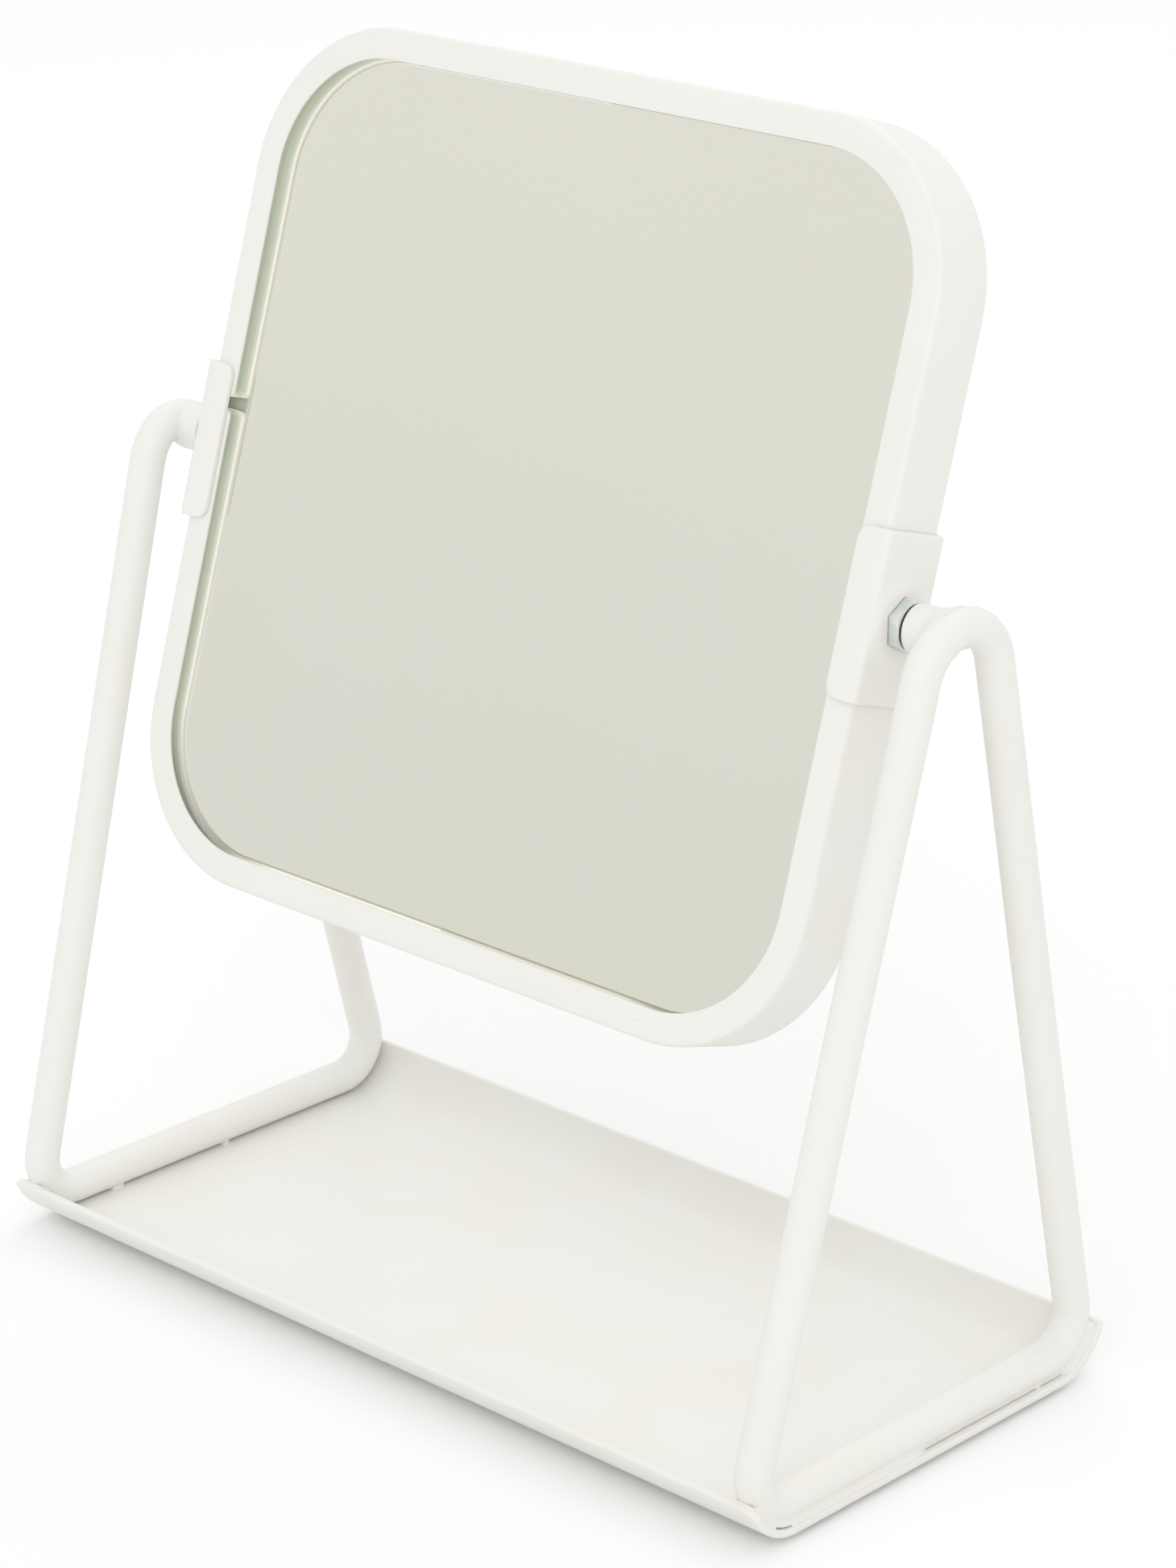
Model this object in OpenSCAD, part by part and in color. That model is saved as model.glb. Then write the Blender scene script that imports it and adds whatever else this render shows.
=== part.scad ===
// Countertop swivel mirror on a bent-rod stand.
// Millimetres, +Z up, front towards -Y, the surface it stands on at z = 0.

/* [Mirror frame] */
// Outer width of the frame
frame_w = 192.6; // [150:0.1:240]
// Outer height of the frame
frame_h = 190.9; // [150:0.1:240]
// Outer corner radius of the frame
frame_r = 34.7; // [20:0.1:60]
// Depth of the frame's side band, front to back
frame_depth = 15.9; // [14:0.1:26]
// Width of the front and rear lips, from the outer face
lip_w = 6.9; // [5:0.1:10]
// Sheet thickness of the channel
frame_t = 1.2; // [0.8:0.1:2]
// Outer radius of the channel's long bends
frame_bend_r = 1.2; // [0.8:0.1:3]
// Gap where the two ends of the channel meet
seam_gap = 2.8; // [1:0.1:4]
// Height of the seam above the pivot
seam_z = 7.8; // [6:0.1:12]
// Rounding of the lip ends at the seam
seam_r = 1.6; // [0.5:0.1:3]

/* [Glass] */
// Thickness of each mirror glass
glass_t = 3; // [2:0.1:5]
// Room between the glass edge and a stud head
glass_gap = 0.3; // [0.2:0.1:1]

/* [Brackets] */
// Height of each bracket
bracket_h = 35; // [24:1:50]
// Sheet thickness of each bracket
bracket_t = 1.2; // [1:0.1:2.5]
// Reach of each flange over the frame's lip
flange_w = 6.8; // [4:0.1:8]
// Outer radius of the bracket's bends
bracket_bend_r = 1.2; // [0.8:0.1:3]
// Rounding of the flange corners
flange_r = 3; // [1:0.5:5]
// Height of the raised seat round the stud
seat_h = 0.5; // [0.3:0.1:1.2]
// Diameter of the raised seat at its top
seat_d = 13; // [11:0.5:18]
// Width of the seat's sloping skirt
seat_skirt = 2.5; // [1:0.5:4]

/* [Pivots] */
// Diameter of the pivot studs
stud_d = 6; // [4:0.5:7]
// Diameter of each stud's thin head
stud_head_d = 10; // [8:0.5:12]
// Thickness of each stud's thin head
stud_head_t = 1; // [0.8:0.1:1.5]
// Width across flats of the lock nuts
nut_af = 10; // [8:0.5:13]
// Thickness of the lock nuts
nut_t = 2.8; // [2:0.1:6]
// Diameter of the friction washers
washer_d = 10.2; // [8:0.1:14]
// Thickness of the friction washers
washer_t = 0.8; // [0.5:0.1:2]
// Side play between each washer and its boss
play = 0.2; // [0.1:0.05:0.5]
// Diameter of the pivot bosses
boss_d = 10.5; // [9:0.1:14]
// Length of each boss that shows between its face and the rod
boss_len = 5.7; // [5:0.1:15]
// Distance of the pivots ahead of the loops' middle
pivot_fwd = 0.5; // [0:0.1:2]
// Running clearance of the stud in the boss, on the radius
run_clear = 0.05; // [0.02:0.01:0.1]
// Tilt of the mirror, its top leaning back
tilt = 16.5; // [0:0.5:30]

/* [Side loops] */
// Diameter of the rod
rod_d = 8; // [5:0.5:12]
// Depth of each loop between the crossing points of its straights
loop_depth = 109.2; // [80:0.1:150]
// Rise from the bottom straight to the crossing point of the legs
loop_rise = 212.8; // [180:0.1:280]
// Bend radius at the top, on the rod's centreline
apex_r = 12; // [9:0.1:20]
// Bend radius at the bottom corners, on the rod's centreline
corner_r = 9; // [7:0.1:20]
// Outward lean of each loop, in degrees
loop_lean = 1.04; // [0:0.01:3]
// Drop of the pivot below the rod's centreline at the top
pivot_drop = 2.65; // [0:0.05:5]

/* [Base plate] */
// Sheet thickness of the plate
plate_t = 1.7; // [1.2:0.1:4]
// Reach of the plate past the middle of each bottom rod
plate_over = 3.3; // [1.5:0.05:15]
// Gap between the rod and the plate it is welded to
rod_gap = 0.1; // [0.05:0.05:0.5]
// Extra room between the rods and the rear lip
rear_room = 1.5; // [0:0.1:6]
// Sweep of the upturned front lip, in degrees
front_sweep = 70; // [45:1:85]
// Sweep of the upturned rear lip, in degrees
rear_sweep = 78; // [45:1:85]
// Rounding of the lip corners
lip_corner_r = 2; // [1:0.1:5]

/* [Welds] */
// Length of each tack on the inner side
tack_l = 3; // [1:0.5:10]
// Distance of the front inner tack from the loop's front bend
tack_in = 11.7; // [5:0.1:20]
// Place of the middle inner tack, from the loop's middle
tack_mid = 3; // [-6:0.1:30]
// Length of the bead on the outer side
bead_l = 42; // [10:1:70]
// Distance of the outer bead's start from the loop's front bend
bead_in = 0.5; // [0:0.1:10]
// Distance of the small outer tack from the loop's rear bend
outer_tack_in = 4.7; // [2:0.1:15]
// Radial size of the weld round each boss
boss_weld = 1.4; // [0.5:0.1:2]

/* [Foot pads] */
// Diameter of the foot pads
pad_d = 12; // [6:1:20]
// Thickness of the foot pads
pad_h = 1.3; // [0.5:0.1:4]
// Distance of the pad centres from the plate's ends
pad_in = 9; // [6:0.5:30]
// Distance of the pad centres from the start of each lip
pad_back = 7; // [6:0.5:30]

/* [Hidden] */
$fn = 96;
fit = 0.03;
hair = 0.03;
sink = 0.4;
rod_r = rod_d / 2;
half_a = atan(loop_depth / 2 / loop_rise);
corner_t = corner_r / tan((90 - half_a) / 2);
corner_y = loop_depth / 2 - corner_t;
plate_top = pad_h + plate_t;
rod_z = plate_top + rod_gap + rod_r;
apex_c = loop_rise - apex_r / sin(half_a);
// Ends of the front leg, where it leaves its two bends
leg_low = [-corner_y - corner_r * cos(half_a), corner_r + corner_r * sin(half_a)];
leg_high = [-apex_r * cos(half_a), apex_c + apex_r * sin(half_a)];
pivot_z = rod_z + apex_c + apex_r - pivot_drop;
// Stack of pieces along the pivot axis, from the frame outwards
band_x = frame_w / 2;
web_x = band_x + bracket_t;
seat_x = web_x + seat_h;
nut_x = seat_x + nut_t;
washer_x = nut_x + washer_t;
boss_x = washer_x + play;
rod_side_x = boss_x + boss_len;
loop_x = rod_side_x + rod_r - tan(loop_lean) * (pivot_z - rod_z);
plate_l = 2 * (loop_x + plate_over);
lip_r = corner_r + rod_r + rod_gap;
lip_z = rod_z + corner_r;
// Puts the middle of the plate's footprint over the origin
loop_y = -(rear_room + (lip_r + plate_t) * (sin(rear_sweep) - sin(front_sweep))) / 2;
pivot_y = loop_y - pivot_fwd;
front_y = loop_y - corner_y;
rear_y = loop_y + corner_y + rear_room;
head_x = band_x - frame_t;
glass_in = frame_t + stud_head_t + glass_gap;
core_t = frame_depth - 2 * frame_t - 2 * glass_t;
bore_end = rod_side_x - 0.5;
stud_end = bore_end - 0.5;

// The right-hand piece as drawn, or its mirror image on the left
module side(right) {
  if (right) children();
  else mirror([1, 0, 0]) children();
}

// Carries the mirror's own axes to the pivot at its tilt
module tilted() {
  translate([0, pivot_y, pivot_z]) rotate([-tilt, 0, 0]) children();
}

// Cylinder along X from x0 to x1
module x_cyl(x0, x1, r) {
  translate([x0, 0, 0]) rotate([0, 90, 0]) cylinder(h = x1 - x0, r = r);
}

// What is left of a square corner of size r outside its rounding
module corner_waste(r) {
  difference() {
    square(r + 1);
    circle(r);
  }
}

// Box outline with two rounded corners on its +X side
module round_end(x0, x1, h, r) {
  translate([x0, -h / 2]) square([x1 - r - x0, h]);
  translate([x0, -h / 2 + r]) square([x1 - x0, h - 2 * r]);
  for (s = [-1, 1]) translate([x1 - r, s * (h / 2 - r)]) circle(r);
}

// Rounded rectangle outline
module round_rect(w, h, r) {
  square([w - 2 * r, h], center = true);
  square([w, h - 2 * r], center = true);
  for (x = [-1, 1], y = [-1, 1])
    translate([x * (w / 2 - r), y * (h / 2 - r)]) circle(r);
}

/* Base */

// Section of an upturned lip, its bend centre at the origin
module lip_section(sweep) {
  reach = 2 * (lip_r + plate_t);
  intersection() {
    difference() {
      circle(lip_r + plate_t);
      circle(lip_r);
    }
    polygon([
      [0, 0], [0, -reach],
      [reach * sin(sweep / 2), -reach * cos(sweep / 2)],
      [reach * sin(sweep), -reach * cos(sweep)]
    ]);
  }
}

module plate_section() {
  translate([front_y - sink, pad_h]) square([rear_y - front_y + 2 * sink, plate_t]);
  translate([rear_y, lip_z]) lip_section(rear_sweep);
  translate([front_y, lip_z]) mirror([1, 0]) lip_section(front_sweep);
}

// Waste outside the rounded corner of a lip, at the plate's right end
module lip_corner(sweep) {
  translate([plate_l / 2 - lip_corner_r, 0, lip_z - lip_r * cos(sweep) - lip_corner_r])
    rotate([90, 0, 0]) linear_extrude(100) corner_waste(lip_corner_r);
}

module base_plate() {
  color("whitesmoke") difference() {
    rotate([90, 0, 90]) linear_extrude(plate_l, center = true) plate_section();
    for (s = [-1, 1]) side(s > 0) {
      lip_corner(front_sweep);
      mirror([0, 1, 0]) lip_corner(rear_sweep);
    }
  }
}

module foot_pads() {
  color("dimgray")
    for (s = [-1, 1], y = [front_y + pad_back, rear_y - pad_back])
      translate([s * (plate_l / 2 - pad_in), y, 0]) cylinder(h = pad_h, d = pad_d);
}

/* Side loops */

// One bend of the loop in the XY plane, from angle a0 through sweep
module bend(c, r, a0, sweep, tube_r) {
  translate(c) rotate([0, 0, a0]) rotate_extrude(angle = sweep)
    translate([r, 0]) circle(tube_r);
}

// Straight rod in the XY plane between two points, the loop's outer side on
// its left. It is a hair thinner than the bends, so that each of its ends
// sinks cleanly into one.
module rod(p, q, tube_r) {
  d = q - p;
  translate([p.x, p.y, 0]) rotate([0, 90, atan2(d.y, d.x)]) rotate([0, 0, 90])
    translate([0, 0, -sink]) cylinder(h = norm(d) + 2 * sink, r = tube_r - hair);
}

module apex_bend(tube_r) {
  bend([0, apex_c], apex_r, half_a, 180 - 2 * half_a, tube_r);
}

module loop_flat(tube_r) {
  rod([corner_y, 0], [-corner_y, 0], tube_r);
  apex_bend(tube_r);
  for (m = [0, 1]) mirror([m, 0, 0]) {
    bend([-corner_y, corner_r], corner_r, 180 - half_a, 90 + half_a, tube_r);
    rod(leg_low, leg_high, tube_r);
  }
}

// Stands a shape from the XY plane up in its place at the right
module stand_up() {
  translate([loop_x, loop_y, rod_z]) rotate([0, loop_lean, 0])
    rotate([90, 0, 90]) children();
}

module side_loop(right) {
  color("whitesmoke") side(right) stand_up() loop_flat(rod_r);
}

// Weld in the crevice beside the bottom rod, s = 1 outside and -1 inside
module crevice_weld(s, at, len, reach) {
  translate([loop_x, loop_y + at, plate_top]) rotate([90, 0, 0])
    linear_extrude(len, center = true) difference() {
      translate([s > 0 ? 0.3 * rod_r : -reach, 0])
        square([reach - 0.3 * rod_r, 0.6 * rod_r]);
      translate([0, rod_gap + rod_r]) circle(rod_r + fit);
    }
}

module welds(right) {
  color("whitesmoke") side(right) {
    for (at = [tack_in - corner_y, tack_mid]) crevice_weld(-1, at, tack_l, 0.75 * rod_r);
    crevice_weld(1, bead_in - corner_y + bead_l / 2, bead_l, plate_over - 0.1);
    crevice_weld(1, corner_y - outer_tack_in, tack_l / 2, plate_over - 0.1);
  }
}

/* Pivots */

module pivot_boss(right) {
  color("whitesmoke") side(right) difference() {
    translate([0, pivot_y, pivot_z])
      x_cyl(boss_x, rod_side_x + rod_r * 0.2, boss_d / 2);
    translate([0, pivot_y, pivot_z])
      x_cyl(boss_x - 1, bore_end, stud_d / 2 + run_clear);
    stand_up() apex_bend(rod_r + fit);
  }
}

// Fillet weld where the boss meets the top bend
module boss_fillet(right) {
  color("whitesmoke") side(right) difference() {
    intersection() {
      translate([rod_side_x - boss_weld, pivot_y, pivot_z]) rotate([0, 90, 0])
        cylinder(h = boss_weld + rod_r * 0.2, r1 = boss_d / 2,
          r2 = boss_d / 2 + boss_weld + rod_r * 0.2);
      stand_up() apex_bend(rod_r + boss_weld);
    }
    translate([0, pivot_y, pivot_z])
      x_cyl(boss_x, rod_side_x + rod_r, boss_d / 2 + fit);
    stand_up() apex_bend(rod_r + fit);
  }
}

module pivot_stud(right) {
  color("silver") side(right) tilted() {
    x_cyl(head_x - stud_head_t, head_x, stud_head_d / 2);
    x_cyl(head_x, stud_end - 0.6, stud_d / 2);
    translate([stud_end - 0.6, 0, 0]) rotate([0, 90, 0])
      cylinder(h = 0.6, d1 = stud_d, d2 = stud_d - 1.2);
  }
}

module lock_nut(right) {
  face_r = nut_af * 0.475;
  color("darkseagreen") side(right) tilted() difference() {
    intersection() {
      translate([seat_x, 0, 0]) rotate([0, 90, 0]) rotate([0, 0, tilt])
        cylinder(h = nut_t, d = nut_af / cos(30), $fn = 6);
      translate([seat_x, 0, 0]) rotate([0, 90, 0])
        cylinder(h = nut_t, r1 = face_r + nut_t / tan(30), r2 = face_r);
    }
    x_cyl(seat_x - 1, nut_x + 1, stud_d / 2 + fit);
  }
}

module friction_washer(right) {
  color("black") side(right) tilted() difference() {
    x_cyl(nut_x, washer_x, washer_d / 2);
    x_cyl(nut_x - 1, washer_x + 1, stud_d / 2 + 0.1);
  }
}

/* Mirror */

// C section of the channel; x = frame_r is its outer face
module channel_section() {
  difference() {
    round_end(frame_r - lip_w, frame_r, frame_depth, frame_bend_r);
    translate([0, -frame_depth / 2 + frame_t])
      square([frame_r - frame_t, frame_depth - 2 * frame_t]);
  }
}

// Carries the channel section round the rounded square
module channel_ring() {
  for (i = [0:3]) {
    w = i % 2 == 0 ? frame_w : frame_h;
    h = i % 2 == 0 ? frame_h : frame_w;
    rotate([0, -90 * i, 0]) translate([w / 2 - frame_r, 0, 0]) {
      linear_extrude(h - 2 * frame_r, center = true) channel_section();
      translate([0, 0, h / 2 - frame_r]) rotate([90, 0, 0])
        rotate_extrude(angle = 90) channel_section();
    }
  }
}

// Outline of the seam seen from the front, with rounded lip ends
module seam_outline() {
  x_in = -frame_w / 2 + lip_w;
  translate([-frame_w / 2 - 1, -seam_gap / 2]) square([lip_w + 2, seam_gap]);
  for (m = [0, 1]) mirror([0, m])
    translate([x_in - seam_r, seam_gap / 2 + seam_r]) mirror([0, 1])
      corner_waste(seam_r);
}

module mirror_frame() {
  color("whitesmoke") tilted() difference() {
    channel_ring();
    translate([0, 0, seam_z]) rotate([90, 0, 0])
      linear_extrude(frame_depth + 2, center = true) seam_outline();
    for (s = [-1, 1]) side(s > 0)
      x_cyl(head_x - 1, band_x + 1, stud_d / 2 + 0.1);
  }
}

// Pane filling the channel, its front face at y0
module pane(y0, t) {
  tilted() translate([0, y0 + t, 0]) rotate([90, 0, 0]) linear_extrude(t)
    round_rect(frame_w - 2 * glass_in, frame_h - 2 * glass_in, frame_r - glass_in);
}

module front_mirror_glass() {
  color("lightsteelblue") pane(-frame_depth / 2 + frame_t, glass_t);
}

module rear_mirror_glass() {
  color("lightsteelblue") pane(frame_depth / 2 - frame_t - glass_t, glass_t);
}

module core_board() {
  color("tan") pane(-core_t / 2, core_t);
}

// U section of a bracket round the frame's band
module bracket_section() {
  difference() {
    round_end(web_x - bracket_t - flange_w, web_x,
      frame_depth + 2 * bracket_t, bracket_bend_r);
    translate([0, -frame_depth / 2]) square([band_x, frame_depth]);
  }
}

module bracket(right) {
  flare = seat_d / 2 + seat_skirt;
  color("whitesmoke") side(right) tilted() difference() {
    union() {
      linear_extrude(bracket_h, center = true) bracket_section();
      translate([web_x, 0, 0]) rotate([0, 90, 0])
        cylinder(h = seat_h, r1 = flare, r2 = seat_d / 2);
    }
    translate([band_x, 0, 0]) rotate([0, 90, 0])
      cylinder(h = seat_h, r1 = flare - bracket_t, r2 = seat_d / 2 - bracket_t);
    x_cyl(band_x - 1, seat_x + 1, stud_d / 2 + 0.1);
    for (m = [0, 1]) mirror([0, 0, m])
      translate([web_x - bracket_t - flange_w + flange_r, 0, bracket_h / 2 - flange_r])
        rotate([90, 0, 0]) linear_extrude(frame_depth * 2, center = true)
          mirror([1, 0]) corner_waste(flange_r);
  }
}

base_plate();
foot_pads();
side_loop(false);  // left_side_loop
side_loop(true);  // right_side_loop
welds(false);  // left_welds
welds(true);  // right_welds
pivot_boss(false);  // left_pivot_boss
pivot_boss(true);  // right_pivot_boss
boss_fillet(false);  // left_boss_weld
boss_fillet(true);  // right_boss_weld
mirror_frame();
front_mirror_glass();
core_board();
rear_mirror_glass();
bracket(false);  // left_bracket
bracket(true);  // right_bracket
pivot_stud(false);  // left_pivot_stud
pivot_stud(true);  // right_pivot_stud
lock_nut(false);  // left_lock_nut
lock_nut(true);  // right_lock_nut
friction_washer(false);  // left_friction_washer
friction_washer(true);  // right_friction_washer
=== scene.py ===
"""Countertop swivel mirror on a bent-rod stand, laid out as an add-on.

Lengths are in metres, +Z up, the mirror's front towards -Y.
"""

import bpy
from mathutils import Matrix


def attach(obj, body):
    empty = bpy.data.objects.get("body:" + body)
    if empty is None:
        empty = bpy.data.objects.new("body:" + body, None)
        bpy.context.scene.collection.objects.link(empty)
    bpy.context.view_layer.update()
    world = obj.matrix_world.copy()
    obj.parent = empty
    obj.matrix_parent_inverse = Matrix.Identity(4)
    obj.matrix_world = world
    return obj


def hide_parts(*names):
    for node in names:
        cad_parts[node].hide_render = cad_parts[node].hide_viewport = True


bl_info = {
    "name": "Countertop Swivel Mirror",
    "version": (1, 0, 0),
    "blender": (4, 5, 0),
    "location": "View3D > Sidebar > Swivel Mirror",
    "description": "Builds a framed mirror that swivels between two rod loops on a base plate",
    "category": "Add Mesh",
}

from functools import cached_property
from math import atan, cos, hypot, pi, radians, sin, sqrt, tan

import bmesh
import bpy
from bpy.props import FloatProperty, FloatVectorProperty, PointerProperty
from bpy.types import Operator, Panel, PropertyGroup
from mathutils import Matrix, Vector, noise

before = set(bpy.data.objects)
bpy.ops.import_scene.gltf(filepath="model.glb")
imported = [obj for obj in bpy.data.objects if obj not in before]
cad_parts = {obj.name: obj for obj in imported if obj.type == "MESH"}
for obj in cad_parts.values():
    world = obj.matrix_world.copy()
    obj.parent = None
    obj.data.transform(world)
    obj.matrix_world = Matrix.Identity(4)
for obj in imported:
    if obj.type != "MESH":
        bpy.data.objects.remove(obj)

MM = 0.001
STAND, MIRROR = "stand", "mirror"
# Each side's name, and whether its pieces are the right ones flipped
SIDES = (("right", False), ("left", True))


# Properties


def amount(name, value, description, **settings):
    """A number property that can't be negative."""
    return FloatProperty(name=name, description=description, default=value, min=0.0, **settings)


def length(name, millimetres, description):
    """A length property with its default given in millimetres."""
    return amount(name, millimetres * MM, description, unit="LENGTH", precision=5)


def angle(name, in_degrees, description):
    """An angle property with its default given in degrees."""
    return FloatProperty(
        name=name, description=description, default=radians(in_degrees), subtype="ANGLE",
    )


def colour(name, value, description):
    """A linear colour property."""
    return FloatVectorProperty(
        name=name, description=description, default=value, subtype="COLOR",
        size=3, min=0.0, max=1.0,
    )


class StandSizes(PropertyGroup):
    """Sizes of the base plate, the rod loops and their bosses"""

    rod_diameter: length("Rod diameter", 8, "Diameter of the bent rod")
    loop_depth: length("Loop depth", 109.2, "Depth between the points where its straights cross")
    loop_rise: length("Loop rise", 212.8, "Rise from the bottom straight to where the legs cross")
    top_bend: length("Top bend", 12, "Bend radius at the top, on the centreline")
    corner_bend: length("Corner bend", 9, "Bend radius at the corners, on the centreline")
    loop_lean: angle("Loop lean", 1.04, "How far each loop leans outwards")
    left_sag: length("Left loop sag", 2.2, "Fall of the left loop's top towards the back")
    right_sag: length("Right loop sag", 0.5, "How far the right loop's top sits low")
    right_back: length("Right loop back", 0.6, "How far the right loop's top sits back")
    pivot_drop: length("Pivot drop", 2.65, "Drop of the pivot below the rod's top")
    pivot_fwd: length("Pivot offset", 0.5, "How far the pivots stand before the loops' middle")
    boss_diameter: length("Boss diameter", 10.5, "Diameter of the pivot bosses")
    boss_length: length("Boss length", 5.7, "Length of a boss between its face and the rod")
    boss_weld: length("Boss weld", 2.4, "Reach of the weld between a boss and its loop")
    left_weld: length("Left boss weld", 0.25, "Reach of the leaner weld on the left boss")
    plate_sheet: length("Plate sheet", 1.7, "Sheet thickness of the base plate")
    plate_over: length("Plate overhang", 4.4, "Reach of the plate past the bottom rods")
    rod_gap: length("Rod gap", 0.1, "Gap between a bottom rod and the plate")
    rear_room: length("Rear room", 1.5, "Extra room between the rods and the rear lip")
    front_sweep: angle("Front lip sweep", 70, "How far the plate's front lip curls up")
    rear_sweep: angle("Rear lip sweep", 74.5, "How far the plate's rear lip curls up")
    left_corner: length("Lip corner", 0.5, "Rounding of the lips' ends")
    right_corner: length("Front right lip corner", 3, "Rounding of the front lip's right end")
    pad_height: length("Pad height", 1.3, "Thickness of the foot pads")
    pad_diameter: length("Pad diameter", 12, "Diameter of the foot pads")
    pad_in: length("Pad inset", 10.1, "Distance of the pads from the plate's ends")
    pad_back: length("Pad setback", 7, "Distance of the pads from the lips")


class MirrorSizes(PropertyGroup):
    """Sizes of the framed mirror, its brackets and its pivots"""

    width: length("Width", 192.6, "Outer width of the frame")
    height: length("Height", 190.9, "Outer height of the frame")
    corner: length("Corner", 34.7, "Outer corner radius of the frame")
    depth: length("Depth", 15.9, "Depth of the frame's side band")
    lip: length("Lip", 6.9, "Width of the front and rear lips")
    sheet: length("Sheet", 1.2, "Sheet thickness of the frame")
    lip_edge: length("Lip edge", 0.5, "Sheet thickness at the lips' inner edge")
    bend: length("Bend", 1.2, "Outer radius of the frame's long bends")
    seam_gap: length("Seam gap", 2.8, "Gap where the two ends of the frame meet")
    seam_height: length("Seam height", 7.8, "Height of the seam above the pivot")
    glass_edge: length("Glass edge", 2.5, "Distance of the glass from the frame's outer face")
    glass_sheet: length("Glass", 3, "Thickness of each mirror glass")
    silver_depth: length("Silver depth", 1.6, "How far under the glass's face its silver appears")
    glass_lean: angle("Glass lean", 0.25, "How far each glass leans back in its channel")
    bracket_height: length("Bracket height", 35, "Height of each bracket")
    bracket_sheet: length("Bracket sheet", 1.2, "Sheet thickness of each bracket")
    bracket_bend: length("Bracket bend", 1.3, "Outer radius of each bracket's bends")
    left_bracket_out: length("Left bracket out", 0.6, "How far the left bracket stands off")
    left_bracket_drop: length("Left bracket drop", 1.1, "How far the left bracket sits low")
    right_bracket_rise: length("Right bracket rise", 0.6, "How far the right bracket sits high")
    flange: length("Flange", 6.8, "Reach of a bracket's flanges over the lips")
    flange_corner: length("Flange corner", 3, "Rounding of the flange corners")
    seat_height: length("Seat height", 1, "Height of the raised seat under each nut")
    seat_diameter: length("Seat diameter", 13, "Diameter of the raised seat at its top")
    seat_skirt: length("Seat skirt", 4, "Width of the seat's sloping skirt")
    nut_flats: length("Nut flats", 10, "Width across flats of the lock nuts")
    nut_sheet: length("Nut thickness", 2.7, "Thickness of the lock nuts")
    washer_diameter: length("Washer diameter", 9.6, "Diameter of the friction washers")
    washer_sheet: length("Washer thickness", 0.4, "Thickness of the friction washers")
    play: length("Side play", 0.2, "Side play between a washer and its boss")
    stud_diameter: length("Stud diameter", 6, "Diameter of the pivot studs")
    tilt: angle("Tilt", 16.5, "How far the top of the mirror leans back")


class Finishes(PropertyGroup):
    """Colours of the finishes"""

    paint: colour("Paint", (0.855, 0.850, 0.815), "White powder coat")
    # Silvering tones with a painted reflection: lighter at the top, darker at the foot
    silver_top_painted_reflection: colour("Silvering, top", (0.735, 0.725, 0.645), "Tone of the glass at the top")
    silver_low_painted_reflection: colour("Silvering, bottom", (0.685, 0.682, 0.607), "Tone at the glass's foot")
    # Painted highlight put into the silvering beside the left lips
    glass_glint: colour("Glass glint", (0.93, 0.93, 0.89), "Light line beside the upright lips")
    # Painted reflection: a lighter silvering where the lips' undersides are seen in the glass
    rim_painted_reflection: colour("Glass rim", (0.93, 0.95, 0.93), "Shade of the glass under the lips")
    # Painted light: emission on the frame under the lips
    under_lip_painted_light: colour("Glass glow", (0.148, 0.161, 0.121), "Light carried under the lips")
    zinc: colour("Zinc", (0.80, 0.84, 0.81), "Plating of the nuts and studs")
    nylon: colour("Nylon", (0.012, 0.013, 0.012), "Black of the friction washers")
    rubber: colour("Rubber", (0.05, 0.05, 0.048), "Grey of the foot pads")
    board: colour("Board", (0.30, 0.19, 0.10), "Brown of the core board")


class StageSettings(PropertyGroup):
    """Floor, light and camera"""

    sky: amount("Sky", 0.93, "Strength of the even light from all round")
    key: amount("Key light", 6.5, "Power of the large soft lamp at the front right", unit="POWER")
    fill: amount("Fill light", 3.5, "Power of the large soft lamp at the back left", unit="POWER")
    floor_glow: amount("Floor glow", 0.08, "How much the floor is lifted towards white")
    lens: amount("Lens", 105.15, "Focal length of the camera", subtype="DISTANCE_CAMERA")


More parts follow.
